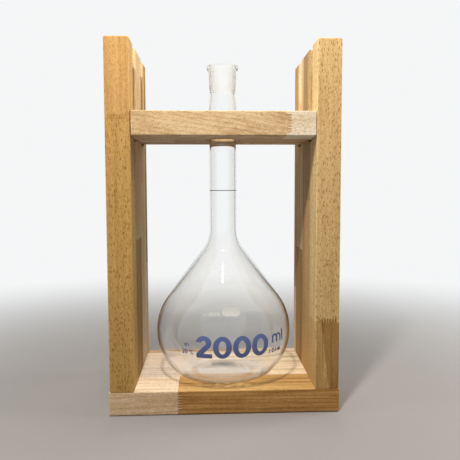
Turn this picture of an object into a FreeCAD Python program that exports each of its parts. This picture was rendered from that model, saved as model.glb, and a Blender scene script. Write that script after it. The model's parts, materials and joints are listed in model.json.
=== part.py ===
"""Volumetric flask standing in its wooden stand.

The stand is a base board, two slotted side panels and a lift-out shelf. Every board is edge-glued from
staves, and every stave is finger-jointed from two lengths of wood. The flask is a bulb, a neck and a
ground socket. Lengths are in millimetres, +Z is up, and the flask's front faces -Y. The origin lies on
the ground under the middle of the whole object.
"""
import FreeCAD, Part
import math
import os

# Boards
board_thickness = 27.0
edge_round = 1.5
stave_width = 50.0
narrowest_stave = 8.0

# Finger joints, cut across the thickness of a board
finger_count = 7
finger_length = 5.0
finger_tip = 1.0
finger_shoulder = 3.0

# Stand
inside_width = 203.0
stand_depth = 162.0
panel_height = 388.0
base_overhang = 1.0

# Places of the finger joints as shares of a board's length, from the left end of the base and the shelf
# and from the foot of a panel
base_joints = (0.305, 0.726, 0.432, 0.579)
left_panel_joints = (0.781, 0.433, 0.608, 0.33)
right_panel_joints = (0.201, 0.552, 0.387, 0.24)
shelf_joints = (0.777, 0.281, 0.617)

# Width of each board's front stave, which was sawn out of a wider glued board
base_front_stave = 50.0
panel_front_stave = 41.0
shelf_front_stave = 43.0

# Slots and shelf
slot_width = 25.0
slot_corner_radius = 5.0
front_land = 31.0
middle_land = 50.0
shelf_height = 283.0
shelf_end_gap = 1.0
tenon_side_clearance = 0.5
tenon_seat_clearance = 0.3
tenon_recess = 0.5
hole_clearance = 1.5
hole_ease = 1.0

# Flask
flask_height = 370.0
bulb_diameter = 161.6
bulb_upper_radius = 71.0
bulb_lower_radius = 66.0
bulb_heel_radius = 31.0
heel_angle = math.radians(44.0)
shoulder_angle = math.radians(37.6)
shoulder_radius = 42.0
neck_diameter = 32.0
glass_wall = 1.5
floor_thickness = 3.4
dimple_radius = 32.0
dimple_depth = 1.4

# Ground socket: the bore narrows by a tenth of its length
ground_length = 32.0
ground_bore = 29.2
ground_taper = 0.1
socket_wall_top = 1.9
socket_wall_foot = 2.7
waist_wall = 1.9
waist_length = 14.0
waist_step = 2.0
rim_diameter = 37.0
rim_height = 4.6
rim_round = 1.2
rim_flare = 1.4

# Enamel marks
ring_height = 223.5
ring_width = 0.8
enamel_thickness = 0.25
spot_length = 26.0
spot_width = 13.2
spot_height = 57.5
spot_shift = 12.5

# Wood screws under the panels
screw_diameter = 4.5
screw_length = 60.0
screw_tip_length = 6.0
screw_head_diameter = 8.6
screw_head_sink = 0.6
screw_clearance = 0.1
screw_count = 3
recess_length = 4.2
recess_width = 1.1
recess_depth = 1.8

# Worked out from the sizes above
panel_outside = inside_width / 2 + board_thickness
base_length = 2 * (panel_outside + base_overhang)
base_top = board_thickness
stand_top = base_top + panel_height
shelf_underside = base_top + shelf_height
shelf_depth = front_land + 2 * slot_width + middle_land - tenon_side_clearance
shelf_length = inside_width - 2 * shelf_end_gap
tenon_end = panel_outside - tenon_recess
bulb_radius = bulb_diameter / 2
neck_radius = neck_diameter / 2
rim_radius = rim_diameter / 2
hole_radius = rim_radius + hole_clearance
bulb_overhang = max(0.0, bulb_radius - shelf_depth / 2)
stand_front = -(stand_depth - bulb_overhang) / 2
flask_axis_y = stand_front + shelf_depth / 2
slot_starts = (stand_front + front_land, stand_front + front_land + slot_width + middle_land)
corner_reach = slot_corner_radius - tenon_side_clearance
seat_drop = slot_corner_radius - math.sqrt(slot_corner_radius ** 2 - corner_reach ** 2)
slot_bottom = shelf_underside - seat_drop - tenon_seat_clearance
outside = 2 * board_thickness


def vector(x, y, z):
    return FreeCAD.Vector(x, y, z)


def block(low, high):
    """A box between two corners."""
    size = [b - a for a, b in zip(low, high)]
    return Part.makeBox(size[0], size[1], size[2], vector(*low))


def rounded(solid, chosen):
    """The solid with its chosen straight edges rounded over."""
    edges = [edge for edge in solid.Edges if chosen(edge.BoundBox)]
    return solid.makeFillet(edge_round, edges)


def save(name, shape):
    """Write one piece, or one group of like pieces, under its own name."""
    solids = shape.Solids
    piece = solids[0] if len(solids) == 1 else Part.makeCompound(solids)
    piece.exportStep(os.path.join("parts", name + ".step"))


def stave_edges(front_stave, depth):
    """Places of the glue lines between staves, from the front of a board to its back."""
    edges = [0.0, front_stave]
    while edges[-1] + stave_width < depth - narrowest_stave:
        edges.append(edges[-1] + stave_width)
    if depth - edges[-1] < narrowest_stave:
        edges.pop()
    return edges + [depth]


def finger_line(place):
    """The comb of one finger joint as pairs: along the stave, and up through the board's thickness."""
    root = place - finger_length / 2
    tip = place + finger_length / 2
    pitch = (board_thickness - 2 * finger_shoulder) / finger_count
    line = [(root, -outside)]
    for finger in range(finger_count):
        middle = finger_shoulder + (finger + 0.5) * pitch
        line.append((root, middle - (pitch - finger_tip) / 2))
        line.append((tip, middle - finger_tip / 2))
        line.append((tip, middle + finger_tip / 2))
        line.append((root, middle + (pitch - finger_tip) / 2))
    return line + [(root, board_thickness + outside)]


def stave_lengths(board, depths, place, ends, point):
    """The two lengths of one stave, cut out of a whole board.

    depths are the stave's front and back in Y, ends are its ends along the stave, and point turns a place
    along the stave and through the board into a point in space.
    """
    line = finger_line(place)
    pieces = []
    for end, reach in zip(ends, (-outside, outside)):
        corners = line + [(end + reach, line[-1][1]), (end + reach, line[0][1])]
        points = [point(along, across, depths[0]) for along, across in corners]
        face = Part.Face(Part.makePolygon(points + points[:1]))
        prism = face.extrude(vector(0, depths[1] - depths[0], 0))
        pieces.append(board.common(prism))
    return pieces


def save_staves(board, name, edges, joints, ends, point, sides):
    """Cut a board into its staves and write every length of wood."""
    for index in range(len(edges) - 1):
        depths = (stand_front + edges[index], stand_front + edges[index + 1])
        place = ends[0] + joints[index % len(joints)] * (ends[1] - ends[0])
        for side, piece in zip(sides, stave_lengths(board, depths, place, ends, point)):
            save(f"{name}_stave_{index + 1}_{side}", piece)


def along_x(height):
    """Points of a board that lies flat with its underside at a height."""
    return lambda along, across, y: vector(along, y, height + across)


def along_z(left):
    """Points of a board that stands upright with its left face at a place in X."""
    return lambda along, across, y: vector(left + across, y, along)


def screw_places(x):
    """Screw axes along one panel, one in the middle of each full base stave."""
    first = stand_front + base_front_stave / 2
    return [vector(x, first + index * stave_width, 0) for index in range(screw_count)]


def screw_body(play):
    """A countersunk wood screw pointing up, grown all round by the play."""
    radius = screw_diameter / 2 + play
    head = screw_head_diameter / 2 + play
    cone_top = screw_head_sink + head - radius
    tip = screw_length - screw_tip_length
    outline = [
        (0, screw_head_sink), (head, screw_head_sink), (radius, cone_top),
        (radius, tip), (0, screw_length + play),
    ]
    wire = Part.makePolygon([vector(r, 0, z) for r, z in outline + outline[:1]])
    return Part.Face(wire).revolve(vector(0, 0, 0), vector(0, 0, 1), 360)


def screw():
    """One screw with its cross recess."""
    body = screw_body(0)
    top = screw_head_sink + recess_depth
    half = recess_length / 2
    thin = recess_width / 2
    body = body.cut(block((-half, -thin, 0), (half, thin, top)))
    return body.cut(block((-thin, -half, 0), (thin, half, top)))


def screw_holes(x):
    """Holes for the screws of one panel, open below the countersink."""
    hole = screw_body(screw_clearance)
    mouth_radius = screw_head_diameter / 2 + screw_clearance
    hole = hole.fuse(Part.makeCylinder(mouth_radius, screw_head_sink))
    holes = []
    for place in screw_places(x):
        drilled = hole.copy()
        drilled.translate(place)
        holes.append(drilled)
    return holes


def base_board():
    half = base_length / 2
    board = block((-half, stand_front, 0), (half, stand_front + stand_depth, base_top))
    board = rounded(board, lambda box: True)
    middle = panel_outside - board_thickness / 2
    return board.cut(screw_holes(-middle) + screw_holes(middle))


def slot_cutter(start):
    """A slot across a panel, open at the top, with its two bottom corners rounded."""
    radius = slot_corner_radius
    end = start + slot_width
    x = -panel_outside - outside
    slant = radius * (1 - math.sqrt(0.5))
    top = stand_top + outside
    corners = [
        vector(x, start, top), vector(x, start, slot_bottom + radius),
        vector(x, start + radius, slot_bottom), vector(x, end - radius, slot_bottom),
        vector(x, end, slot_bottom + radius), vector(x, end, top),
    ]
    low_corner = vector(x, start + slant, slot_bottom + slant)
    high_corner = vector(x, end - slant, slot_bottom + slant)
    edges = [
        Part.makeLine(corners[0], corners[1]),
        Part.Arc(corners[1], low_corner, corners[2]).toShape(),
        Part.makeLine(corners[2], corners[3]),
        Part.Arc(corners[3], high_corner, corners[4]).toShape(),
        Part.makeLine(corners[4], corners[5]),
        Part.makeLine(corners[5], corners[0]),
    ]
    return Part.Face(Part.Wire(edges)).extrude(vector(-2 * x, 0, 0))


def panel_board(left):
    """A side panel with its left face at a place in X, slotted for the shelf."""
    low = (left, stand_front, base_top)
    high = (left + board_thickness, stand_front + stand_depth, stand_top)
    board = block(low, high)
    board = rounded(board, lambda box: box.ZMax > stand_top - edge_round)
    cutters = [slot_cutter(start) for start in slot_starts]
    return board.cut(cutters + screw_holes(left + board_thickness / 2))


def neck_hole():
    """The round hole that the flask's rim passes through, eased at both ends."""
    top = shelf_underside + board_thickness
    wide = hole_radius + hole_ease
    outline = [
        (0, shelf_underside), (wide, shelf_underside), (hole_radius, shelf_underside + hole_ease),
        (hole_radius, top - hole_ease), (wide, top), (0, top),
    ]
    wire = Part.makePolygon([vector(r, 0, z) for r, z in outline + outline[:1]])
    hole = Part.Face(wire).revolve(vector(0, 0, 0), vector(0, 0, 1), 360)
    hole.translate(vector(0, flask_axis_y, 0))
    return hole


def shelf_board():
    """The shelf with two tenons at each end and the hole for the flask's neck."""
    half = shelf_length / 2
    back = stand_front + shelf_depth
    top = shelf_underside + board_thickness
    board = block((-half, stand_front, shelf_underside), (half, back, top))
    board = rounded(board, lambda box: box.YMax < stand_front + edge_round and box.XLength > half)
    for start in slot_starts:
        low = (-tenon_end, start + tenon_side_clearance, shelf_underside)
        high = (tenon_end, start + slot_width - tenon_side_clearance, top)
        board = board.fuse(block(low, high))
    return board.cut(neck_hole()).removeSplitter()


def polar(centre, radius, angle):
    """A point of the flask's half section at an angle above the level of an arc's centre."""
    return vector(centre[0] + radius * math.cos(angle), 0, centre[1] + radius * math.sin(angle))


def arc(centre, radius, start, end):
    middle = (start + end) / 2
    points = [polar(centre, radius, angle) for angle in (start, middle, end)]
    return Part.Arc(*points).toShape()


# Centres of the arcs of the bulb's half section, as distance from the axis and height above the base
heel_shift = bulb_lower_radius - bulb_heel_radius
equator = heel_shift * math.sin(heel_angle) + bulb_heel_radius
lower_centre = (bulb_radius - bulb_lower_radius, equator)
heel_centre = (lower_centre[0] + heel_shift * math.cos(heel_angle), bulb_heel_radius)
upper_centre = (bulb_radius - bulb_upper_radius, equator)
cone_foot = polar(upper_centre, bulb_upper_radius, shoulder_angle)
cone_top_radius = neck_radius + shoulder_radius * (1 - math.cos(shoulder_angle))
cone_rise = (cone_foot.x - cone_top_radius) / math.tan(shoulder_angle)
neck_foot = cone_foot.z + cone_rise + shoulder_radius * math.sin(shoulder_angle)
shoulder_centre = (neck_radius + shoulder_radius, neck_foot)
socket_foot = flask_height - ground_length - waist_length


def bulb_outline(offset, floor):
    """Edges of the bulb's half section at an offset outside the glass, from a floor height up to the neck."""
    heel = bulb_heel_radius + offset
    heel_start = -math.asin((heel_centre[1] - floor) / heel)
    cone = shoulder_radius - offset
    cone_start = polar(upper_centre, bulb_upper_radius + offset, shoulder_angle)
    cone_end = polar(shoulder_centre, cone, math.pi + shoulder_angle)
    return [
        arc(heel_centre, heel, heel_start, -heel_angle),
        arc(lower_centre, bulb_lower_radius + offset, -heel_angle, 0),
        arc(upper_centre, bulb_upper_radius + offset, 0, shoulder_angle),
        Part.makeLine(cone_start, cone_end),
        arc(shoulder_centre, cone, math.pi + shoulder_angle, math.pi),
    ]


def first_point(edges):
    return edges[0].valueAt(edges[0].FirstParameter)


def last_point(edges):
    return edges[-1].valueAt(edges[-1].LastParameter)


def revolved(edges):
    """A closed half section turned about the flask's axis and stood on the base."""
    wire = Part.Wire(Part.sortEdges(edges)[0])
    solid = Part.Face(wire).revolve(vector(0, 0, 0), vector(0, 0, 1), 360)
    solid.translate(vector(0, flask_axis_y, base_top))
    return solid


def filled_bulb(offset, floor):
    """The bulb as a full body, for its outside, its inside or a skin over it."""
    edges = bulb_outline(offset, floor)
    low = first_point(edges)
    high = last_point(edges)
    axis_low = vector(0, 0, low.z)
    axis_high = vector(0, 0, high.z)
    closing = [
        Part.makeLine(axis_low, low),
        Part.makeLine(high, axis_high),
        Part.makeLine(axis_high, axis_low),
    ]
    return revolved(edges + closing)


def bulb_dimple():
    """The shallow dome pushed up into the bulb's bottom."""
    sphere_radius = (dimple_radius ** 2 + dimple_depth ** 2) / (2 * dimple_depth)
    centre = vector(0, flask_axis_y, base_top + dimple_depth - sphere_radius)
    return Part.makeSphere(sphere_radius, centre)


def flask_bulb():
    shell = filled_bulb(0, 0).cut(filled_bulb(-glass_wall, floor_thickness))
    return shell.cut(bulb_dimple())


def tube(outline):
    """A ring turned from the corners of its half section."""
    points = [vector(r, 0, z) for r, z in outline]
    return revolved(Part.makePolygon(points + points[:1]).Edges)


def flask_neck():
    bore = neck_radius - glass_wall
    return tube([
        (bore, neck_foot), (neck_radius, neck_foot),
        (neck_radius, socket_foot), (bore, socket_foot),
    ])


def flask_socket():
    """The ground socket with its waist below and its rim on top."""
    ground_foot = flask_height - ground_length
    bore_top = ground_bore / 2
    bore_foot = bore_top - ground_taper * ground_length / 2
    rim_foot = flask_height - rim_height
    solid = tube([
        (neck_radius - glass_wall, socket_foot), (neck_radius, socket_foot),
        (bore_foot + waist_wall, ground_foot), (bore_foot + socket_wall_foot, ground_foot + waist_step),
        (bore_top + socket_wall_top, rim_foot - rim_flare), (rim_radius, rim_foot),
        (rim_radius, flask_height), (bore_top, flask_height), (bore_foot, ground_foot),
    ])
    circles = [edge for edge in solid.Edges if edge.Closed]
    rims = [edge for edge in circles if math.isclose(edge.Curve.Radius, rim_radius)]
    return solid.makeFillet(rim_round, rims)


def ring_mark():
    low = ring_height - ring_width / 2
    high = ring_height + ring_width / 2
    outer = neck_radius + enamel_thickness
    return tube([(neck_radius, low), (outer, low), (outer, high), (neck_radius, high)])


def writing_spot():
    """A thin oblong enamel patch on the back of the bulb."""
    skin = filled_bulb(enamel_thickness, 0).cut(filled_bulb(0, 0))
    half = (spot_length - spot_width) / 2
    radius = spot_width / 2
    start = vector(spot_shift, flask_axis_y, base_top + spot_height)
    behind = vector(0, 1, 0)
    prism = block(
        (spot_shift - half, flask_axis_y, start.z - radius),
        (spot_shift + half, flask_axis_y + bulb_diameter, start.z + radius),
    )
    for side in (-half, half):
        prism = prism.fuse(Part.makeCylinder(radius, bulb_diameter, start + vector(side, 0, 0), behind))
    return skin.common(prism)


def save_stand():
    half = base_length / 2
    edges = stave_edges(base_front_stave, stand_depth)
    save_staves(base_board(), "base", edges, base_joints, (-half, half), along_x(0), ("left", "right"))
    edges = stave_edges(panel_front_stave, stand_depth)
    ends = (base_top, stand_top)
    places = {"left": -panel_outside, "right": panel_outside - board_thickness}
    joints = {"left": left_panel_joints, "right": right_panel_joints}
    for side, left in places.items():
        board = panel_board(left)
        name = side + "_panel"
        save_staves(board, name, edges, joints[side], ends, along_z(left), ("lower", "upper"))
        screws = []
        for place in screw_places(left + board_thickness / 2):
            driven = screw()
            driven.translate(place)
            screws.append(driven)
        save(name + "_screws", Part.makeCompound(screws))


def save_shelf():
    half = tenon_end
    edges = stave_edges(shelf_front_stave, shelf_depth)
    point = along_x(shelf_underside)
    save_staves(shelf_board(), "shelf", edges, shelf_joints, (-half, half), point, ("left", "right"))


def save_flask():
    save("flask_bulb", flask_bulb())
    save("flask_neck", flask_neck())
    save("flask_socket", flask_socket())
    save("ring_mark", ring_mark())
    save("writing_spot", writing_spot())


def capacity():
    """What the flask holds up to its ring mark, in millilitres."""
    neck_bore = neck_radius - glass_wall
    neck_part = math.pi * neck_bore ** 2 * (ring_height - neck_foot)
    return (filled_bulb(-glass_wall, floor_thickness).Volume + neck_part) / 1000


os.makedirs("parts", exist_ok=True)
save_stand()
save_shelf()
save_flask()
print(f"capacity to the ring mark: {capacity():.0f} ml")
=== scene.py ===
import json
import math

import bmesh
import bpy
from bpy.props import FloatProperty, FloatVectorProperty, IntProperty, PointerProperty
from mathutils import Matrix, Vector


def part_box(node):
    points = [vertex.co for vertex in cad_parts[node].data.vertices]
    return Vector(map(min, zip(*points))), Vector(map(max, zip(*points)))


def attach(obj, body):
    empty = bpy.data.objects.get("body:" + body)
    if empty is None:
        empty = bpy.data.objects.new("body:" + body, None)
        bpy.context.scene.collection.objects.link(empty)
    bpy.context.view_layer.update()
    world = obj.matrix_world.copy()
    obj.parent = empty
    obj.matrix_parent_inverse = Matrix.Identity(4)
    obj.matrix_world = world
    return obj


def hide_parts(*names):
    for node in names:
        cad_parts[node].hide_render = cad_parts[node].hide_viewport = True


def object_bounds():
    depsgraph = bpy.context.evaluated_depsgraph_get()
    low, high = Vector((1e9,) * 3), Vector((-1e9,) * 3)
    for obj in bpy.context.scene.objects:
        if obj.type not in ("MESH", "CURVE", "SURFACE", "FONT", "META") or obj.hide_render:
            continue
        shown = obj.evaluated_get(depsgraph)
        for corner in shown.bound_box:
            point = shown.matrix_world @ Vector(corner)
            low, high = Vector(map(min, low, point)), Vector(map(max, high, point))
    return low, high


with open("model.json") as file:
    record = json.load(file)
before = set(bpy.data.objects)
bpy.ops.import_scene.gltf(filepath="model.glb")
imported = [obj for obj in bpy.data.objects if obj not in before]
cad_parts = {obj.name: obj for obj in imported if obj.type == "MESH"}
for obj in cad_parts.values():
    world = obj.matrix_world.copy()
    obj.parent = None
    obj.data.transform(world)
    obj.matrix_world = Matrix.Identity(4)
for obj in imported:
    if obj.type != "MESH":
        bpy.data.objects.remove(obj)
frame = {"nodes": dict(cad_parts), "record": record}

bl_info = {
    "name": "Volumetric flask in a wooden stand",
    "version": (1, 0, 0),
    "blender": (4, 5, 0),
    "location": "3D View > Sidebar > Flask stand",
    "description": "Blows, prints and finishes a volumetric flask and oils the stand that holds it",
    "category": "Object",
}

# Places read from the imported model, in metres
CAD_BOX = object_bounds()
BULB_LOW, BULB_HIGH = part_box("flask_bulb")
NECK_LOW, NECK_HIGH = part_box("flask_neck")
SOCKET_LOW, SOCKET_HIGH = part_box("flask_socket")
AXIS = (NECK_LOW + NECK_HIGH) / 2
FOOT = BULB_LOW.z
SLOT_OF = {row["node"]: row["material_slot"] for row in frame["record"]["subparts"]}
UPRIGHT = ("left_panel", "right_panel")

# Lengths of wood that differ from their tone in red, green and blue, some of them partly by painted sheen as
# noted below
SHADES = {
    "left_panel_stave_1_lower": (0.94, 0.95, 0.82),
    "left_panel_stave_1_upper": (0.98, 0.97, 0.94),
    "right_panel_stave_1_upper": (1.2, 1.37, 1.64),
    "shelf_stave_1_left": (1.01, 1.08, 1.19),
    "shelf_stave_1_right": (1.08, 1.24, 1.5),
    "base_stave_1_left": (1.06, 1.06, 1.12),
    "base_stave_1_right": (0.90, 0.84, 0.76),
    # The left of the base's top: partly a paler tone, while the raised blue is a painted sheen
    "base_stave_2_left": (0.88, 0.92, 1.1),
    "base_stave_3_left": (0.90, 0.93, 1.08),
    "base_stave_4_left": (0.88, 0.92, 1.1),
    "base_stave_2_right": (1.08, 1.1, 1.12),
}
# Staves 2 and 3 of each panel are paler above the shelf: partly paler wood, partly a painted sheen on their
# inner faces
for panel in UPRIGHT:
    SHADES[panel + "_stave_2_upper"] = (1.1, 1.24, 1.6)
    SHADES[panel + "_stave_3_upper"] = (1.12, 1.27, 1.7)
# How strongly dashes mark a length of wood: most have few, and two are full of them
DASHES = {"right_panel_stave_1_upper": 0.85, "left_panel_stave_1_lower": 0.8}
FEW_DASHES = 0.35
# How strongly late wood darkens the growth rings of a length of wood
LATE_WOOD = {
    "base_stave_1_right": 0.95,
    "base_stave_2_right": 0.8,
    "base_stave_3_right": 0.8,
    "shelf_stave_1_left": 0.62,
    "left_panel_stave_1_lower": 0.1,
    "left_panel_stave_1_upper": 0.1,
    "right_panel_stave_1_upper": 0.12,
}
FAINT_RINGS = 0.48
# Lengths sawn so that their streaks hardly show, and the range of grain that runs from dark to light
EVEN_GRAIN = ("left_panel_stave_1_lower", "left_panel_stave_1_upper", "right_panel_stave_1_upper")
EVEN_RANGE = (0.25, 0.75)
STREAKY_RANGE = (0.4, 0.6)
# Lengths whose grain runs out of line with the board, as an angle in radians
LEANING = {"shelf_stave_1_left": -0.17}
# Lengths with brown heartwood to the right of a line: its start at the foot, and how it leans to the left
HEARTWOOD = {"right_panel_stave_1_lower": (0.0165, 0.135)}
HEART_BORDER = 0.0008
HEART_WANDER = 0.006
# How far the shelf's tones go towards the pale one
SHELF_PALER = 0.45
# How far lengths of wood vary in their tone, in the lean of their grain and in the place of their pith
TONE_SPREAD = 0.04
MOST_LEAN = 0.012
PITH_ASIDE = 0.09
PITH_BELOW = 0.11
PITH_WANDER = 0.05
# Marks per metre along, across and through a board
BROAD_BANDS = (4, 70, 70)
STREAKS = (14, 380, 380)
FIBRES = (90, 1500, 1500)
PORES = (620, 900, 900)
LONG_DASHES = (170, 600, 600)
SHORT_DASHES = (520, 760, 760)
SHORT_DASH_STRENGTH = 0.5
# Growth rings: their stretch along the board, how close they lie and how far they wander
RING_STRETCH = (0.05, 1, 1)
RING_SCALE = 62.0
RING_WANDER = 4.5
# What late wood leaves of a tone, what end grain leaves of its dark streaks, and how far end grain shows
LATE_SHADE = (0.74, 0.66, 0.55)
END_SHADE = (0.62, 0.58, 0.52)
END_STRENGTH = 0.38
# How far glue darkens a finger joint and a long edge, and how near the outside no edge is glued
FINGER_GLUE = 0.95
EDGE_GLUE = 0.5
OUTER_EDGE = 0.001
# Marks per metre in the enamel, in the turned zinc plate and in the floor, and the two tones of the plate
ENAMEL_CLOUDS = 900
TURNED_LINES = (300, 300, 5200)
FLOOR_SPECKS = 90
ZINC_TONES = ((0.50, 0.50, 0.49), (0.66, 0.65, 0.62))

# Steps of the curves along the flask's half section
DOME_STEPS = 10
HEEL_STEPS = 14
SIDE_STEPS = 18
CONE_STEPS = 8
SHOULDER_STEPS = 14
GROUND_STEPS = 8
BOTTOM_STEPS = 6
CORNER_STEPS = 6
# The most of a side that an eased corner takes
EASED_SHARE = 0.45
# The ground bore's length for each unit that its radius shrinks, and the eased edge and start of that bore
TAPER = 20
MOUTH_EASE = 0.0005
MOUTH_DEPTH = 0.0006
GROUND_TOP = 0.002
# How far above its foot the neck runs straight
NECK_START = 0.004
# How far past its first and last row a zone of other glass is sure to reach
ROW_MARGIN = 0.1
# How far the glass bends light
GLASS_IOR = 1.473

# Lines of print: marks, start and end in degrees from the front to the right, height above the bulb's foot,
# and the gap between marks as a share of their height, or none for a single bold numeral
NUMBER = (
    ("2", -23.4, -10.4, 0.0408, None),
    ("0", -9.6, 5.0, 0.0408, None),
    ("0", 5.9, 20.6, 0.0408, None),
    ("0", 21.4, 36.6, 0.0408, None),
)
UNIT = ((("m", "l"), 41.0, 55.2, 0.0515, 0.16),)
NOTES = (
    (("I", "n"), -33.6, -29.8, 0.0520, 0.12),
    (("2", "0", "space", "degree", "C"), -36.4, -26.0, 0.0438, 0.08),
    (("plus_minus", "space", "0", "comma", "6", "space", "m", "l"), 38.2, 52.5, 0.0410, 0.06),
)
BACK_NOTE = ((("2", "0", "0", "0", "space", "m", "l"), 181.5, 199.0, 0.0515, 0.06),)
STROKE_STEP = 0.0012
# Places across a stroke as shares of half its width, and heights of its two layers as shares of the lift
STROKE_COLUMNS = (1.0, 0.33, -0.33, -1.0)
STROKE_LAYERS = (1.0, 0.08)
# Large numerals: level strokes and the slope's foot as shares of the stroke, the 2's bowl as shares of its
# height and width, and the bowl's start and end in degrees
LEVEL_STROKE = 0.82
SLOPE_FOOT = 1.42
BOWL_HEIGHT = 0.31
BOWL_WIDTH = 0.48
BOWL_TURN = (172, -34)
BOWL_STEPS = 40
SLOPE_STEPS = 12
RING_STEPS = 64
# How near points count as one: in a stroke that closes on itself, on the lathe and in the print
SAME_POINT = 1e-9
LATHE_MERGE = 0.00001
PRINT_MERGE = 0.000002

# Lamps: place, the lengths of their two sides, power in watts and colour
WARM = (1.0, 0.97, 0.93)
WHITE = (1.0, 1.0, 1.0)
LAMPS = {
    "key": ((-0.09, -0.46, 0.78), (0.05, 0.05), 6.5, WARM),
    "left": ((-0.75, -0.1, 0.56), (0.5, 0.5), 3.8, WHITE),
    "right": ((0.75, 0.0, 0.6), (0.5, 0.3), 7.0, WHITE),
    "back": ((0.1, 1.0, 0.66), (0.8, 0.4), 5.0, WHITE),
    "ceiling": ((-0.03, -0.42, 1.0), (0.03, 0.05), 0.7, WARM),
}
# What the lamps point at, and the one lamp whose shine shows in the glass
LAMP_TARGET = (0.0, 0.0, 0.2)
MIRRORED_LAMP = "ceiling"
# The sky's strength for diffuse light, and where it is seen directly or in glass
SKY_LEVELS = (0.04, 1.0)
# How far the floor lies under the base, and what its specks leave of its colour
FLOOR_DROP = 0.0003
SPECK_SHADE = 0.985


def length(name, words, default):
    return FloatProperty(name=name, description=words, default=default, unit="LENGTH", precision=5)


def angle(name, words, degrees):
    return FloatProperty(name=name, description=words, default=math.radians(degrees), subtype="ANGLE")


def colour(name, words, default):
    return FloatVectorProperty(name=name, description=words, default=default, subtype="COLOR", min=0, max=1)


class FlaskSizes(bpy.types.PropertyGroup):
    """Sizes of the blown glass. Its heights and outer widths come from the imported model."""
    upper_radius: length("Upper arc", "Radius of the bulb's side above its widest level", 0.071)
    lower_radius: length("Lower arc", "Radius of the bulb's side below its widest level", 0.066)
    heel_radius: length("Heel", "Radius between the bulb's side and its bottom", 0.031)
    heel_angle: angle("Heel angle", "Where the heel takes over from the side", 44.0)
    shoulder_angle: angle("Shoulder angle", "Slope of the cone under the neck", 37.6)
    shoulder_radius: length("Shoulder", "Radius between the cone and the neck", 0.042)
    wall: length("Wall", "Thickness of the glass", 0.0015)
    floor: length("Bottom", "Thickness of the glass under the bulb", 0.0034)
    dimple_radius: length("Dimple", "Radius of the dome pushed up into the bottom", 0.032)
    dimple_depth: length("Dimple depth", "Height of that dome", 0.0014)
    ground_length: length("Ground length", "Length of the ground bore", 0.032)
    ground_bore: length("Ground bore", "Width of the ground bore at its top", 0.0292)
    waist_wall: length("Waist wall", "Thickness at the narrow place under the socket", 0.0019)
    socket_wall: length("Socket wall", "Thickness at the foot of the socket", 0.0027)
    rim_wall: length("Wall under the rim", "Thickness at the top of the socket", 0.0019)
    waist_step: length("Waist step", "Height of the step from the waist to the socket", 0.002)
    rim_height: length("Rim", "Height of the rim", 0.0046)
    rim_flare: length("Rim flare", "Height of the slope under the rim", 0.0014)
    rim_round: length("Rim rounding", "Radius of the rim's edges", 0.0012)
    segments: IntProperty(name="Segments", description="Faces around the flask", default=144, min=24)


class GlassColours(bpy.types.PropertyGroup):
    """Colours of the glass and of the light behind it, face on and edge on. The glass's edge colours are a
    painted darkening in place of the surroundings that edge-on glass reflects and bends.
    """
    clear: colour("Clear", "Clear glass seen face on", (0.99, 0.995, 0.992))
    # Painted dark edge: clear glass darkens where it is seen edge on, in place of the surroundings it would
    # reflect and bend
    clear_edge: colour("Clear edge", "Clear glass seen edge on", (0.3, 0.29, 0.27))
    ground: colour("Ground", "Ground glass seen face on", (0.94, 0.935, 0.92))
    # Painted dark edges of the ground glass and of the socket's outer wall, made in the same way
    ground_edge: colour("Ground edge", "Ground glass seen edge on", (0.84, 0.83, 0.80))
    socket_edge: colour("Socket edge", "The socket's outer wall seen edge on", (0.78, 0.77, 0.75))
    shadow: colour("Shadow", "Light that passes face on", (0.985, 0.985, 0.98))
    shadow_edge: colour("Shadow edge", "Light that passes edge on", (0.4, 0.4, 0.4))


class PrintSizes(bpy.types.PropertyGroup):
    """Sizes and colours of what is printed on the bulb."""
    lift: length("Lift", "How far the enamel stands off the glass", 0.00022)
    number_height: length("Number height", "Height of the large number", 0.0246)
    number_stroke: length("Number stroke", "Width of the large number's strokes", 0.0060)
    unit_height: length("Unit height", "Height of the unit after the number", 0.0150)
    unit_stroke: length("Unit stroke", "Width of the unit's strokes", 0.0021)
    small_height: length("Small height", "Height of the small marks", 0.0054)
    small_stroke: length("Small stroke", "Width of the small marks' strokes", 0.0010)
    blue: colour("Blue enamel", "Colour of the number and the notes", (0.095, 0.125, 0.29))
    dark: colour("Dark enamel", "Colour of the ring mark", (0.05, 0.055, 0.085))
    white: colour("White enamel", "Colour of the writing spot", (0.93, 0.92, 0.89))


class FingerSizes(bpy.types.PropertyGroup):
    """Sizes of the finger joints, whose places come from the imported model."""
    count: IntProperty(name="Fingers", description="Fingers in one joint", default=7, min=1)
    tip: length("Tip", "Width of a finger's tip", 0.001)
    shoulder: length("Shoulder", "Straight part at each side of a joint", 0.003)
    glue: length("Glue", "Half the width of a glue line", 0.00038)


class BeechColours(bpy.types.PropertyGroup):
    """Early and late wood of the three tones of beech, and the flecks that run through all of them."""
    pale_light: colour("Pale, light", "Light streaks of a pale stave", (0.90, 0.735, 0.51))
    pale_dark: colour("Pale, dark", "Dark streaks of a pale stave", (0.75, 0.565, 0.35))
    golden_light: colour("Golden, light", "Light streaks of a golden stave", (0.74, 0.495, 0.21))
    golden_dark: colour("Golden, dark", "Dark streaks of a golden stave", (0.54, 0.32, 0.122))
    brown_light: colour("Brown, light", "Light streaks of a brown stave", (0.48, 0.295, 0.108))
    brown_dark: colour("Brown, dark", "Dark streaks of a brown stave", (0.34, 0.185, 0.062))
    fleck: colour("Fleck", "What a dark ray fleck or a glue line leaves of a tone", (0.46, 0.34, 0.21))


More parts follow.
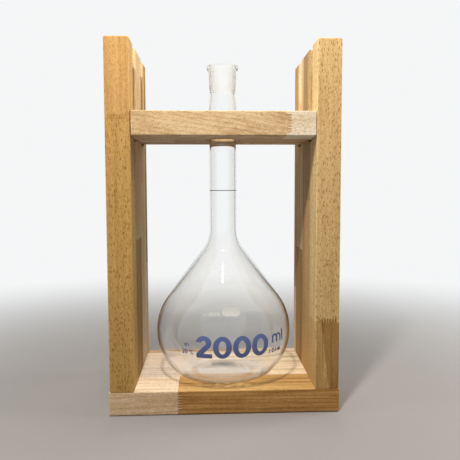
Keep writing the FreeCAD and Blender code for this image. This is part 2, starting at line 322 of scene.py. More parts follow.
class StageSizes(bpy.types.PropertyGroup):
    """Camera, floor and background."""
    camera_place: FloatVectorProperty(
        name="Camera", description="Where the camera stands", default=(-0.01754, -0.6906, 0.2547),
        subtype="TRANSLATION")
    pitch: angle("Pitch", "How far the camera looks down", 4.373)
    yaw: angle("Yaw", "How far the camera looks to the right", 2.697)
    roll: angle("Roll", "How far the camera leans", 0.126)
    lens: FloatProperty(name="Lens", description="Focal length in millimetres", default=44.19)
    shift: FloatProperty(
        name="Shift", description="Sideways shift of the picture", default=-0.0111, precision=4)
    floor_radius: length("Floor", "Radius of the floor", 4.0)
    fade_start: length("Fade start", "Where the floor begins to run out into the background", 0.22)
    fade_end: length("Fade end", "Where the floor has become the background", 1.0)
    floor_colour: colour("Floor colour", "Colour of the pale floor", (0.255, 0.24, 0.226))
    background: colour("Background", "Colour behind the object", (0.91, 0.925, 0.93))


def plug(tree, value, socket):
    """Links a node's output to a socket, or sets the socket to a plain value."""
    if isinstance(value, bpy.types.NodeSocket):
        tree.links.new(value, socket)
    else:
        socket.default_value = value


def maths(tree, operation, first, second=0.0):
    node = tree.nodes.new("ShaderNodeMath")
    node.operation = operation
    for socket, value in zip(node.inputs, (first, second)):
        plug(tree, value, socket)
    return node.outputs["Value"]


def mix_shaders(tree, share, first, second):
    node = tree.nodes.new("ShaderNodeMixShader")
    for socket, value in zip(node.inputs, (share, first, second)):
        plug(tree, value, socket)
    return node.outputs["Shader"]


class Finish:
    """A material that is put together from nodes."""

    def __init__(self, name):
        self.material = bpy.data.materials.new(name)
        self.material.use_nodes = True
        self.tree = self.material.node_tree
        self.tree.nodes.clear()
        self.place = self.add("ShaderNodeTexCoord").outputs["Object"]

    def add(self, kind, settings=None, **inputs):
        """A node with its settings, whose inputs are values or the outputs of other nodes."""
        node = self.tree.nodes.new(kind)
        for name, value in (settings or {}).items():
            setattr(node, name, value)
        for name, value in inputs.items():
            plug(self.tree, value, node.inputs[name.replace("_", " ")])
        return node

    def moved(self, scale, location=(0, 0, 0), rotation=(0, 0, 0), place=None):
        node = self.add("ShaderNodeMapping", Vector=place or self.place, Scale=scale, Location=location,
                        Rotation=rotation)
        return node.outputs["Vector"]

    def noise(self, place, detail, roughness=0.5, distortion=0.0):
        node = self.add("ShaderNodeTexNoise", Vector=place, Scale=1.0, Detail=detail, Roughness=roughness,
                        Distortion=distortion)
        return node.outputs["Fac"]

    def span(self, value, low, high, start=0.0, end=1.0):
        """Spreads a value between two limits smoothly over a range."""
        node = self.add("ShaderNodeMapRange", {"interpolation_type": "SMOOTHSTEP"}, Value=value,
                        From_Min=low, From_Max=high, To_Min=start, To_Max=end)
        return node.outputs["Result"]

    def maths(self, operation, *values):
        return maths(self.tree, operation, *values)

    def apart(self, first, second):
        """How far two values lie apart."""
        return self.maths("ABSOLUTE", self.maths("SUBTRACT", first, second))

    def mixed(self, share, first, second, way="MIX"):
        node = self.tree.nodes.new("ShaderNodeMix")
        node.data_type = "RGBA"
        node.blend_type = way
        sockets = [socket for socket in node.inputs if socket.type == "RGBA"]
        for socket, value in zip([node.inputs["Factor"]] + sockets, (share, first, second)):
            if socket.type == "RGBA" and not isinstance(value, bpy.types.NodeSocket):
                value = (*value[:3], 1.0)
            plug(self.tree, value, socket)
        return [socket for socket in node.outputs if socket.type == "RGBA"][0]

    def bump(self, height, strength, distance):
        node = self.add("ShaderNodeBump", Height=height, Strength=strength, Distance=distance)
        return node.outputs["Normal"]

    def surface(self, shader):
        self.add("ShaderNodeOutputMaterial", Surface=shader)
        return self.material


class Stave:
    """Where one length of wood lies and how it meets its neighbours."""

    def __init__(self, node, seed):
        self.node = node
        self.seed = seed
        self.upright = node.startswith(UPRIGHT)
        self.along, self.through = ("Z", "X") if self.upright else ("X", "Z")
        self.low, self.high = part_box(node)
        board = node.rsplit("_", 1)[0]
        ends = ("_lower", "_upper") if self.upright else ("_left", "_right")
        self.finger_tip = getattr(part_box(board + ends[0])[1], self.along.lower())
        self.finger_root = getattr(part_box(board + ends[1])[0], self.along.lower())
        inner = (CAD_BOX[0].y + OUTER_EDGE, CAD_BOX[1].y - OUTER_EDGE)
        self.edges = [edge for edge in (self.low.y, self.high.y) if inner[0] < edge < inner[1]]

    def face(self):
        """The board's lower or left face, and its thickness."""
        axis = self.through.lower()
        start = getattr(self.low, axis)
        return start, getattr(self.high, axis) - start


def glue_lines(finish, stave, spot, sizes):
    """How far a place on a stave belongs to the glue of its finger joint or of its long edges."""
    start, thick = stave.face()
    pitch = (thick - 2 * sizes.shoulder) / sizes.count
    along = spot[stave.along]
    through = finish.maths("SUBTRACT", spot[stave.through], start)
    from_first = finish.maths("SUBTRACT", through, sizes.shoulder + pitch / 2)
    from_finger = finish.maths("PINGPONG", from_first, pitch / 2)
    width = finish.add(
        "ShaderNodeMapRange", Value=along, From_Min=stave.finger_root, From_Max=stave.finger_tip,
        To_Min=(pitch - sizes.tip) / 2, To_Max=sizes.tip / 2).outputs["Result"]
    middle = (stave.finger_root + stave.finger_tip) / 2
    reach = (stave.finger_tip - stave.finger_root) / 2
    near = finish.maths("LESS_THAN", finish.apart(along, middle), reach)
    inner = finish.maths("LESS_THAN", finish.apart(through, thick / 2), thick / 2 - sizes.shoulder)
    near = finish.maths("MULTIPLY", near, inner)
    full = sizes.glue * 0.6
    gap = finish.apart(from_finger, width)
    glue = finish.maths("MULTIPLY", near, finish.span(gap, full, sizes.glue * 1.6, FINGER_GLUE, 0.0))
    for edge in stave.edges:
        line = finish.span(finish.apart(spot["Y"], edge), full, sizes.glue * 2.2, EDGE_GLUE, 0.0)
        glue = finish.maths("MAXIMUM", glue, line)
    return glue


def heartwood(finish, stave, spot, noise):
    """How far a place on a stave lies beyond the leaning, uneven border of its heartwood."""
    begin, slope = HEARTWOOD[stave.node]
    leant = finish.maths("MULTIPLY", finish.maths("SUBTRACT", spot["Z"], stave.low.z), slope)
    wander = finish.maths("MULTIPLY", finish.maths("SUBTRACT", noise, 0.5), HEART_WANDER)
    beyond = finish.maths("ADD", finish.maths("ADD", spot["X"], leant), wander)
    border = stave.low.x + begin
    return finish.span(beyond, border - HEART_BORDER, border + HEART_BORDER)


def growth_rings(finish, stave, board):
    """How far a place on a stave belongs to late wood, in rings about a pith outside the board."""
    seed = stave.seed
    pith = (0.0, PITH_ASIDE * math.sin(3.7 * seed), PITH_BELOW + PITH_WANDER * math.sin(1.9 * seed))
    rings = finish.add(
        "ShaderNodeTexWave", {"wave_type": "RINGS", "rings_direction": "X", "wave_profile": "SAW"},
        Vector=finish.moved(RING_STRETCH, pith, place=board),
        Scale=RING_SCALE, Distortion=RING_WANDER, Detail=3.0, Detail_Scale=0.9, Detail_Roughness=0.55)
    return finish.span(rings.outputs["Fac"], 0.5, 0.97, 0.0, LATE_WOOD.get(stave.node, FAINT_RINGS))


def dashes(finish, stave, wood):
    """How far a place on a stave belongs to one of the dark dashes that its rays leave, long or short."""
    most = 0.0
    long_strength = DASHES.get(stave.node, FEW_DASHES)
    for scale, strength in ((LONG_DASHES, long_strength), (SHORT_DASHES, SHORT_DASH_STRENGTH)):
        cells = finish.add("ShaderNodeTexVoronoi", Vector=finish.moved(scale, place=wood), Scale=1.0)
        picked = finish.add("ShaderNodeSeparateColor", Color=cells.outputs["Color"]).outputs["Red"]
        dots = finish.maths("MULTIPLY", finish.span(cells.outputs["Distance"], 0.18, 0.46, 1.0, 0.0),
                            finish.span(picked, 0.1, 0.6, 0.0, strength))
        most = finish.maths("MAXIMUM", dots, most)
    return most


def end_grain(finish, stave):
    """How far a place on a stave shows end grain, which lies where the face looks along the board."""
    way = finish.add("ShaderNodeNewGeometry").outputs["Normal"]
    facing = finish.maths("ABSOLUTE", finish.add("ShaderNodeSeparateXYZ", Vector=way).outputs[stave.along])
    return finish.span(facing, 0.6, 0.95, 0.0, END_STRENGTH)


def beech(stave, light, dark, heart, fleck, fingers):
    """Oiled beech: growth rings, streaks, fine fibres, ray flecks, darker end grain and glue lines."""
    finish = Finish("beech_" + stave.node)
    seed = stave.seed
    spot = finish.add("ShaderNodeSeparateXYZ", Vector=finish.place).outputs
    rotation = (0.0, math.pi / 2, 0.0) if stave.upright else (0.0, 0.0, 0.0)
    lean = LEANING.get(stave.node, MOST_LEAN * math.sin(2.3 * seed))
    board = finish.moved((1, 1, 1), rotation=rotation)
    board = finish.moved((1, 1, 1), rotation=(0, lean, 1.4 * lean), place=board)
    wood = finish.moved((1, 1, 1), (0.731 * seed, 0.377 * seed, 0.519 * seed), place=board)
    broad = finish.noise(finish.moved(BROAD_BANDS, place=wood), 3.0, 0.55, 0.6)
    streak = finish.noise(finish.moved(STREAKS, place=wood), 4.0, 0.65, 0.3)
    fibre = finish.noise(finish.moved(FIBRES, place=wood), 4.0, 0.7)
    pores = finish.noise(finish.moved(PORES, place=wood), 2.0, 0.6)
    grain = finish.maths("ADD", finish.maths("MULTIPLY", broad, 0.5), finish.maths("MULTIPLY", streak, 0.5))
    grain = finish.span(grain, *(EVEN_RANGE if stave.node in EVEN_GRAIN else STREAKY_RANGE))
    tint = finish.mixed(grain, dark, light)
    if stave.node in HEARTWOOD:
        brown = finish.mixed(grain, heart[1], heart[0])
        tint = finish.mixed(heartwood(finish, stave, spot, broad), tint, brown)
    late = finish.mixed(1.0, tint, LATE_SHADE, "MULTIPLY")
    tint = finish.mixed(growth_rings(finish, stave, board), tint, late)
    fine = finish.maths("MULTIPLY", finish.span(fibre, 0.3, 0.7, 0.9, 1.06),
                        finish.span(pores, 0.32, 0.62, 0.84, 1.05))
    shade = finish.add("ShaderNodeCombineColor", Red=fine, Green=fine, Blue=fine).outputs["Color"]
    tint = finish.mixed(1.0, tint, shade, "MULTIPLY")
    dash = dashes(finish, stave, wood)
    tint = finish.mixed(dash, tint, fleck, "MULTIPLY")
    across = [value * share for value, share in zip(dark, END_SHADE)]
    tint = finish.mixed(end_grain(finish, stave), tint, across)
    tint = finish.mixed(glue_lines(finish, stave, spot, fingers), tint, fleck, "MULTIPLY")
    relief = finish.maths("ADD", fibre, finish.maths("MULTIPLY", dash, -0.6))
    shine = finish.add(
        "ShaderNodeBsdfPrincipled", Base_Color=tint, Roughness=finish.span(fibre, 0.3, 0.7, 0.62, 0.76),
        Specular_IOR_Level=0.1, Normal=finish.bump(relief, 0.22, 0.0002))
    return finish.surface(shine.outputs["BSDF"])


def glass(name, tints, face, edge, roughness=0.0, share=1.0, ripple_scale=30.0, ripple_depth=0.00004):
    """Glass that lets light through to what lies behind it, with a painted darkening where it is seen edge
    on, in place of the surroundings that it reflects and bends there.
    """
    finish = Finish(name)
    ripple = finish.noise(finish.moved((ripple_scale,) * 3), 2.0)
    turned_away = finish.add("ShaderNodeLayerWeight", Blend=0.5).outputs["Facing"]
    # Painted dark edge: the colour turns to the edge colour where the glass is seen edge on
    seen = finish.mixed(finish.span(turned_away, 0.62, 0.94), face, edge)
    body = finish.add(
        "ShaderNodeBsdfPrincipled", Base_Color=seen, Roughness=roughness, IOR=GLASS_IOR,
        Transmission_Weight=share, Normal=finish.bump(ripple, 0.15, ripple_depth))
    passed = finish.mixed(finish.span(turned_away, 0.7, 0.98), tints.shadow, tints.shadow_edge)
    clear = finish.add("ShaderNodeBsdfTransparent", Color=passed)
    shadow_ray = finish.add("ShaderNodeLightPath").outputs["Is Shadow Ray"]
    return finish.surface(
        mix_shaders(finish.tree, shadow_ray, body.outputs["BSDF"], clear.outputs["BSDF"]))


def enamel(name, tint, depth):
    """Fired enamel with a faint unevenness in its colour and gloss."""
    finish = Finish(name)
    cloud = finish.noise(finish.moved((ENAMEL_CLOUDS,) * 3), 4.0, 0.6)
    shade = finish.mixed(finish.span(cloud, 0.3, 0.7), tint, [value * depth for value in tint])
    body = finish.add(
        "ShaderNodeBsdfPrincipled", Base_Color=shade, Roughness=finish.span(cloud, 0.3, 0.7, 0.3, 0.48),
        Normal=finish.bump(cloud, 0.15, 0.0001))
    return finish.surface(body.outputs["BSDF"])


def zinc(name):
    """Bright zinc plate with a fine turned grain."""
    finish = Finish(name)
    turned = finish.noise(finish.moved(TURNED_LINES), 3.0)
    shade = finish.mixed(finish.span(turned, 0.3, 0.7), *ZINC_TONES)
    body = finish.add(
        "ShaderNodeBsdfPrincipled", Base_Color=shade, Roughness=finish.span(turned, 0.3, 0.7, 0.28, 0.42),
        Metallic=1.0, Normal=finish.bump(turned, 0.2, 0.0001))
    return finish.surface(body.outputs["BSDF"])


def dress(node, material):
    """Gives a carried-over node its material."""
    mesh = frame["nodes"][node].data
    mesh.materials.clear()
    mesh.materials.append(material)


def polar(centre, radius, turn):
    return (centre[0] + radius * math.cos(turn), centre[1] + radius * math.sin(turn))


def arc(centre, radius, start, end, count):
    return [polar(centre, radius, start + (end - start) * step / count) for step in range(count + 1)]


def eased(points, reach):
    """A half section's corners, each turned into a short curve."""
    line = [points[0]]
    for before, corner, after in zip(points, points[1:], points[2:]):
        corner = Vector(corner)
        ends = []
        for other in (before, after):
            way = Vector(other) - corner
            ends.append(corner + way.normalized() * min(reach, way.length * EASED_SHARE))
        for step in range(CORNER_STEPS + 1):
            share = step / CORNER_STEPS
            point = ends[0].lerp(corner, share).lerp(corner.lerp(ends[1], share), share)
            line.append(tuple(point))
    return line + [points[-1]]


class Section:
    """The half section of the flask, as distance from the axis and height above the bulb's foot."""

    def __init__(self, sizes):
        self.sizes = sizes
        self.bulb = (BULB_HIGH.x - BULB_LOW.x) / 2
        self.neck = (NECK_HIGH.x - NECK_LOW.x) / 2
        self.rim = (SOCKET_HIGH.x - SOCKET_LOW.x) / 2
        self.top = SOCKET_HIGH.z - FOOT
        self.neck_foot = NECK_LOW.z - FOOT
        self.socket_foot = NECK_HIGH.z - FOOT
        heel_shift = sizes.lower_radius - sizes.heel_radius
        self.equator = heel_shift * math.sin(sizes.heel_angle) + sizes.heel_radius
        self.lower = (self.bulb - sizes.lower_radius, self.equator)
        self.upper = (self.bulb - sizes.upper_radius, self.equator)
        self.heel = (self.lower[0] + heel_shift * math.cos(sizes.heel_angle), sizes.heel_radius)
        self.shoulder = (self.neck + sizes.shoulder_radius, self.neck_foot)

    def bulb_line(self, offset, floor):
        """The bulb's side from a floor height up to the neck, at an offset outside the glass."""
        sizes = self.sizes
        heel = sizes.heel_radius + offset
        start = -math.asin((self.heel[1] - floor) / heel)
        line = arc(self.heel, heel, start, -sizes.heel_angle, HEEL_STEPS)
        line += arc(self.lower, sizes.lower_radius + offset, -sizes.heel_angle, 0, SIDE_STEPS)[1:]
        line += arc(self.upper, sizes.upper_radius + offset, 0, sizes.shoulder_angle, SIDE_STEPS)[1:]
        turn = math.pi + sizes.shoulder_angle
        shoulder = arc(self.shoulder, sizes.shoulder_radius - offset, turn, math.pi, SHOULDER_STEPS)
        foot = Vector(line[-1])
        head = Vector(shoulder[0])
        line += [tuple(foot.lerp(head, step / CONE_STEPS)) for step in range(1, CONE_STEPS)]
        return line + shoulder

    def outside(self):
        """The outer face from the bottom to the rim, with the first and last point of the socket's wall."""
        sizes = self.sizes
        sphere = (sizes.dimple_radius ** 2 + sizes.dimple_depth ** 2) / (2 * sizes.dimple_depth)
        reach = math.asin(sizes.dimple_radius / sphere)
        centre = (0.0, sizes.dimple_depth - sphere)
        dome = arc(centre, sphere, math.pi / 2, math.pi / 2 - reach, DOME_STEPS)
        ground_foot = self.top - sizes.ground_length
        bore_top = sizes.ground_bore / 2
        bore_foot = bore_top - sizes.ground_length / TAPER
        rim_foot = self.top - sizes.rim_height
        corners = [
            (self.neck, self.neck_foot + NECK_START), (self.neck, self.socket_foot),
            (bore_foot + sizes.waist_wall, ground_foot),
            (bore_foot + sizes.socket_wall, ground_foot + sizes.waist_step),
            (bore_top + sizes.rim_wall, rim_foot - sizes.rim_flare),
            (self.rim, rim_foot), (self.rim, self.top), (bore_top, self.top),
        ]
        foot = dome + self.bulb_line(0.0, 0.0)
        # Each eased corner is a run of this many points, and the third and fourth bound the socket's wall
        steps = CORNER_STEPS + 1
        socket = (len(foot) + 1 + 2 * steps, len(foot) + 4 * steps)
        return foot + eased(corners, sizes.rim_round)[:-1], socket

    def inside(self):
        """The inner face from the rim to the bottom, with the first and last point of the ground zone."""
        sizes = self.sizes
        bore_top = sizes.ground_bore / 2
        bore_foot = bore_top - sizes.ground_length / TAPER
        mouth = [(bore_top + MOUTH_EASE, self.top), (bore_top, self.top - MOUTH_DEPTH)]
        ground_top = Vector((bore_top, self.top - GROUND_TOP))
        ground_foot = Vector((bore_foot, self.top - sizes.ground_length))
        shares = [step / GROUND_STEPS for step in range(GROUND_STEPS + 1)]
        ground = [tuple(ground_top.lerp(ground_foot, share)) for share in shares]
        bore = self.neck - sizes.wall
        neck = [(bore, self.socket_foot), (bore, self.neck_foot + NECK_START)]
        bulb = list(reversed(self.bulb_line(-sizes.wall, sizes.floor)))
        steps = reversed(range(BOTTOM_STEPS))
        middle = [(bulb[-1][0] * step / BOTTOM_STEPS, sizes.floor) for step in steps]
        return mouth + ground + neck + bulb + middle, (len(mouth), len(mouth) + len(ground) - 1)

    def on_bulb(self, turn, height, lift):
        """A point on the bulb's side: turn is measured from the front towards the right."""
        sizes = self.sizes
        low = height < self.equator
        centre = self.lower if low else self.upper
        radius = sizes.lower_radius if low else sizes.upper_radius
        side = math.asin((height - self.equator) / radius)
        out, up = polar(centre, radius + lift, side)
        return Vector((AXIS.x + out * math.sin(turn), AXIS.y - out * math.cos(turn), FOOT + up))


def lathe_tree():
    """Turns a half section, given as a curve, about an upright axis."""
    tree = bpy.data.node_groups.new("glass_lathe", "GeometryNodeTree")
    sockets = (
        ("Half section", "Geometry"), ("Segments", "Int"), ("Rows", "Int"),
        ("First ground row", "Int"), ("Last ground row", "Int"),
        ("First socket row", "Int"), ("Last socket row", "Int"), ("Axis", "Vector"),
        ("Clear glass", "Material"), ("Ground glass", "Material"), ("Socket glass", "Material"),
    )
    for name, kind in sockets:
        tree.interface.new_socket(name=name, in_out="INPUT", socket_type="NodeSocket" + kind)
    tree.interface.new_socket(name="Flask", in_out="OUTPUT", socket_type="NodeSocketGeometry")
    given = tree.nodes.new("NodeGroupInput").outputs

    def node(kind, *inputs, **settings):
        made = tree.nodes.new(kind)
        for name, value in settings.items():
            setattr(made, name, value)
        live = [item for item in made.inputs if item.enabled]
        for name, value in inputs:
            socket = live[name] if isinstance(name, int) else made.inputs[name]
            plug(tree, value, socket)
        return [item for item in made.outputs if item.enabled][0]

    def maths(operation, *values):
        return node("ShaderNodeMath", *enumerate(values), operation=operation)

    columns = maths("ADD", given["Segments"], 1)
    grid = node("GeometryNodeMeshGrid", ("Size X", 1.0), ("Size Y", 1.0), ("Vertices X", columns),
                ("Vertices Y", given["Rows"]))
    spot = tree.nodes.new("ShaderNodeSeparateXYZ")
    tree.links.new(node("GeometryNodeInputPosition"), spot.inputs[0])
    turn = maths("MULTIPLY", maths("ADD", spot.outputs["X"], 0.5), 2 * math.pi)
    last_row = maths("SUBTRACT", given["Rows"], 1)
    row = maths("ROUND", maths("MULTIPLY", maths("ADD", spot.outputs["Y"], 0.5), last_row))
    kept = node("GeometryNodeStoreNamedAttribute", ("Geometry", grid), ("Name", "row"), (3, row),
                data_type="FLOAT", domain="POINT")
    place = node("GeometryNodeInputPosition")
    sampled = node("GeometryNodeSampleIndex", (0, given["Half section"]), (1, place), (2, row),
                   data_type="FLOAT_VECTOR", domain="POINT")
    half = tree.nodes.new("ShaderNodeSeparateXYZ")
    tree.links.new(sampled, half.inputs[0])
    right = maths("MULTIPLY", half.outputs["X"], maths("SINE", turn))
    back = maths("MULTIPLY", half.outputs["X"], maths("COSINE", turn))
    around = node("ShaderNodeCombineXYZ", ("X", right), ("Y", back), ("Z", half.outputs["Z"]))
    placed = node("ShaderNodeVectorMath", (0, around), (1, given["Axis"]), operation="ADD")
    turned = node("GeometryNodeSetPosition", ("Geometry", kept), ("Position", placed))
    closed = node("GeometryNodeMergeByDistance", ("Geometry", turned), ("Distance", LATHE_MERGE))
    smooth = node("GeometryNodeSetShadeSmooth", (0, closed))
    stored = node("GeometryNodeInputNamedAttribute", ("Name", "row"), data_type="FLOAT")
    whole = node("GeometryNodeRealizeInstances", (0, smooth))
    made = node("GeometryNodeSetMaterial", ("Geometry", whole), ("Material", given["Clear glass"]))
    for zone in ("ground", "socket"):
        above = maths("GREATER_THAN", stored, maths("SUBTRACT", given["First " + zone + " row"], ROW_MARGIN))
        below = maths("LESS_THAN", stored, maths("ADD", given["Last " + zone + " row"], ROW_MARGIN))
        inside = maths("MULTIPLY", above, below)
        made = node("GeometryNodeSetMaterial", ("Geometry", made), ("Selection", inside),
                    ("Material", given[zone.capitalize() + " glass"]))
    result = tree.nodes.new("NodeGroupOutput")
    tree.links.new(made, result.inputs["Flask"])
    return tree


def turned_on_lathe(name, line, values):
    """The plain mesh that the lathe makes of a half section."""
    curve = bpy.data.curves.new(name + "_section", "CURVE")
    curve.dimensions = "3D"
    spline = curve.splines.new("POLY")
    spline.points.add(len(line) - 1)
    for point, (out, up) in zip(spline.points, line):
        point.co = (out, 0.0, up, 1.0)
    section = bpy.data.objects.new(name + "_section", curve)
    bpy.context.scene.collection.objects.link(section)
    tree = lathe_tree()
    modifier = section.modifiers.new("lathe", "NODES")
    modifier.node_group = tree
    values["Rows"] = len(line)
    for item in tree.interface.items_tree:
        if item.in_out == "INPUT" and item.name in values:
            modifier[item.identifier] = values[item.name]
    graph = bpy.context.evaluated_depsgraph_get()
    mesh = bpy.data.meshes.new_from_object(section.evaluated_get(graph), depsgraph=graph)
    section.modifiers.remove(modifier)
    bpy.data.objects.remove(section)
    shape = bmesh.new()
    shape.from_mesh(mesh)
    bmesh.ops.recalc_face_normals(shape, faces=shape.faces)
    if shape.calc_volume(signed=True) < 0:
        bmesh.ops.reverse_faces(shape, faces=shape.faces)
    shape.to_mesh(mesh)
    shape.free()
    mesh.name = name
    return mesh


def shown(name, data):
    """An object of the scene for a mesh, a lamp or a camera."""
    piece = bpy.data.objects.new(name, data)
    bpy.context.scene.collection.objects.link(piece)
    return piece


class FLASKSTAND_OT_blow_flask(bpy.types.Operator):
    """Turn the glass of the flask from its half section, with the ground zone inside its socket"""
    bl_idname = "flaskstand.blow_flask"
    bl_label = "Blow the flask"

    def execute(self, context):
        sizes = context.scene.flask_sizes
        section = Section(sizes)
        outside, socket = section.outside()
        inside, ground = section.inside()
        tints = context.scene.glass_colours
        clear = glass("clear_glass", tints, tints.clear, tints.clear_edge)
        frosted = glass("ground_glass", tints, tints.ground, tints.ground_edge, roughness=0.6, share=0.9,
                        ripple_scale=5200.0, ripple_depth=0.0002)
        outer = glass("socket_glass", tints, tints.clear, tints.socket_edge)
        mesh = turned_on_lathe("flask_glass", outside + inside, {
            "Segments": sizes.segments,
            "First ground row": len(outside) + ground[0],
            "Last ground row": len(outside) + ground[1],
            "First socket row": socket[0],
            "Last socket row": socket[1],
            "Axis": (AXIS.x, AXIS.y, FOOT),
            "Clear glass": clear,
            "Ground glass": frosted,
            "Socket glass": outer,
        })
        piece = shown("flask_glass", mesh)
        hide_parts("flask_bulb", "flask_neck", "flask_socket")
        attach(piece, "flask")
        return {"FINISHED"}


def oval(middle, radii, start, end, count):
    """Points on an oval turn, with angles in degrees from the right."""
    turns = [math.radians(start + (end - start) * step / count) for step in range(count + 1)]
    return [(middle[0] + radii[0] * math.cos(turn), middle[1] + radii[1] * math.sin(turn)) for turn in turns]


def arch(left, right, height):
    """A stem's arch in small letters."""
    middle = ((left + right) / 2, height * 0.62)
    return oval(middle, ((right - left) / 2, height * 0.38), 180, 0, 14) + [(right, 0.0)]


# Strokes of each mark on a field one unit high, with the field's width
MARKS = {
    "0": (0.72, [oval((0.36, 0.5), (0.36, 0.5), 90, 450, 40)]),
    "2": (0.66, [oval((0.32, 0.68), (0.32, 0.32), 165, -38, 24) + [(0.0, 0.0)], [(0.0, 0.0), (0.66, 0.0)]]),
    "6": (0.66, [oval((0.33, 0.32), (0.33, 0.32), 90, 450, 32),
                 oval((0.62, 0.32), (0.62, 0.68), 180, 108, 14)]),
    "m": (0.94, [[(0.0, 0.0), (0.0, 0.68)], arch(0.0, 0.47, 0.68), arch(0.47, 0.94, 0.68)]),
    "l": (0.0, [[(0.0, 0.0), (0.0, 1.0)]]),
    "I": (0.0, [[(0.0, 0.0), (0.0, 1.0)]]),
    "n": (0.46, [[(0.0, 0.0), (0.0, 0.68)], arch(0.0, 0.46, 0.68)]),
    "C": (0.66, [oval((0.4, 0.5), (0.4, 0.5), 48, 312, 28)]),
    "degree": (0.2, [oval((0.1, 0.88), (0.12, 0.12), 90, 450, 16)]),
    "plus_minus": (0.5, [[(0.25, 0.25), (0.25, 0.85)], [(0.0, 0.55), (0.5, 0.55)],
                         [(0.0, 0.0), (0.5, 0.0)]]),
    "comma": (0.1, [[(0.1, 0.04), (0.04, -0.14)]]),
    "space": (0.12, []),
}


def spread(points, step):
    """A stroke's points at even steps no longer than a given one."""
    line = [Vector(points[0])]
    for start, end in zip(points, points[1:]):
        way = Vector(end) - Vector(start)
        count = max(1, math.ceil(way.length / step))
        line += [Vector(start) + way * part / count for part in range(1, count + 1)]
    return line


def ribbon(points, width):
    """Rows of a stroke: each place on its middle line with its half width as a sideways step."""
    ring = (points[0] - points[-1]).length < SAME_POINT
    rows = []
    for index, point in enumerate(points):
        before = points[index - 1] if index else (points[-2] if ring else point)
        after = points[index + 1] if index + 1 < len(points) else (points[1] if ring else point)
        way = (after - before).normalized()
        rows.append((point, Vector((-way.y, way.x)) * width / 2))
    return rows


def row_between(outer, inner):
    """One row of a broad stroke from the two points on its edges."""
    outer = Vector(outer)
    inner = Vector(inner)
    return ((outer + inner) / 2, (outer - inner) / 2)


def numeral(mark, width, height, stroke):
    """Rows of the strokes of a large bold numeral, whose strokes are thinner where they run level."""
    level = stroke * LEVEL_STROKE
    if mark == "0":
        middle = (width / 2, height / 2)
        outer = oval(middle, (width / 2, height / 2), 90, 450, RING_STEPS)
        inner = oval(middle, (width / 2 - stroke, height / 2 - level), 90, 450, RING_STEPS)
        return [[row_between(*pair) for pair in zip(outer, inner)]]
    top = height * BOWL_HEIGHT
    side = width * BOWL_WIDTH
    middle = (side, height - top)
    outer = oval(middle, (side, top), *BOWL_TURN, BOWL_STEPS)
    inner = oval(middle, (side - stroke, top - level), *BOWL_TURN, BOWL_STEPS)
    bowl = [row_between(*pair) for pair in zip(outer, inner)]
    foot = row_between((stroke * SLOPE_FOOT, level), (0.0, level))
    shares = [step / SLOPE_STEPS for step in range(SLOPE_STEPS + 1)]
    slope = [[start.lerp(end, share) for start, end in zip(bowl[-1], foot)] for share in shares[1:]]
    bar = [(Vector((width * share, level / 2)), Vector((0.0, level / 2))) for share in shares]
    return [bowl + slope, bar]


def lay_stroke(shape, rows, place):
    """Lays one stroke as a thin closed skin. place turns a flat point and a lift into a point in space."""
    grid = []
    for point, side in rows:
        grid.append([
            [shape.verts.new(place(point + side * share, lift)) for share in STROKE_COLUMNS]
            for lift in STROKE_LAYERS
        ])
    for first, second in zip(grid, grid[1:]):
        for layer in (0, 1):
            for column in range(3):
                shape.faces.new((first[layer][column], first[layer][column + 1],
                                 second[layer][column + 1], second[layer][column]))
        for column in (0, 3):
            shape.faces.new((first[0][column], second[0][column], second[1][column], first[1][column]))
    ring = (rows[0][0] - rows[-1][0]).length < SAME_POINT
    for row in () if ring else (grid[0], grid[-1]):
        for column in range(3):
            shape.faces.new((row[0][column], row[0][column + 1], row[1][column + 1], row[1][column]))


def lettered(marks, room, height, stroke, gap):
    """Rows of the strokes of small marks that stand side by side and fill a given width."""
    tall = height - stroke
    widths = [MARKS[mark][0] for mark in marks]
    step = gap * tall + stroke
    if not sum(widths):
        raise RuntimeError("a printed line has no width")
    scale = (room - stroke - (len(marks) - 1) * step) / sum(widths)
    pen = stroke / 2
    strokes = []
    for mark, width in zip(marks, widths):
        for points in MARKS[mark][1]:
            flat = [(pen + x * scale, stroke / 2 + y * tall) for x, y in points]
            strokes.append(ribbon(spread(flat, STROKE_STEP), stroke))
        pen += width * scale + step
    return strokes


def printed(name, section, lines, height, stroke, lift, material, slot):
    """Lines of marks of one height and stroke width, laid on the bulb as one piece."""
    shape = bmesh.new()
    for marks, start, end, foot, gap in lines:
        def place(point, share, begin=start):
            turn = math.radians(begin) + point.x / section.bulb
            return section.on_bulb(turn, point.y, lift * share)

        room = math.radians(end - start) * section.bulb
        if gap is None:
            strokes = numeral(marks, room, height, stroke)
        else:
            strokes = lettered(marks, room, height, stroke, gap)
        for rows in strokes:
            lay_stroke(shape, [(point + Vector((0.0, foot)), side) for point, side in rows], place)
    bmesh.ops.remove_doubles(shape, verts=shape.verts, dist=PRINT_MERGE)
    bmesh.ops.recalc_face_normals(shape, faces=shape.faces)
    mesh = bpy.data.meshes.new(name)
    shape.to_mesh(mesh)
    shape.free()
    mesh.materials.append(material)
    piece = shown(name, mesh)
    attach(piece, "flask")


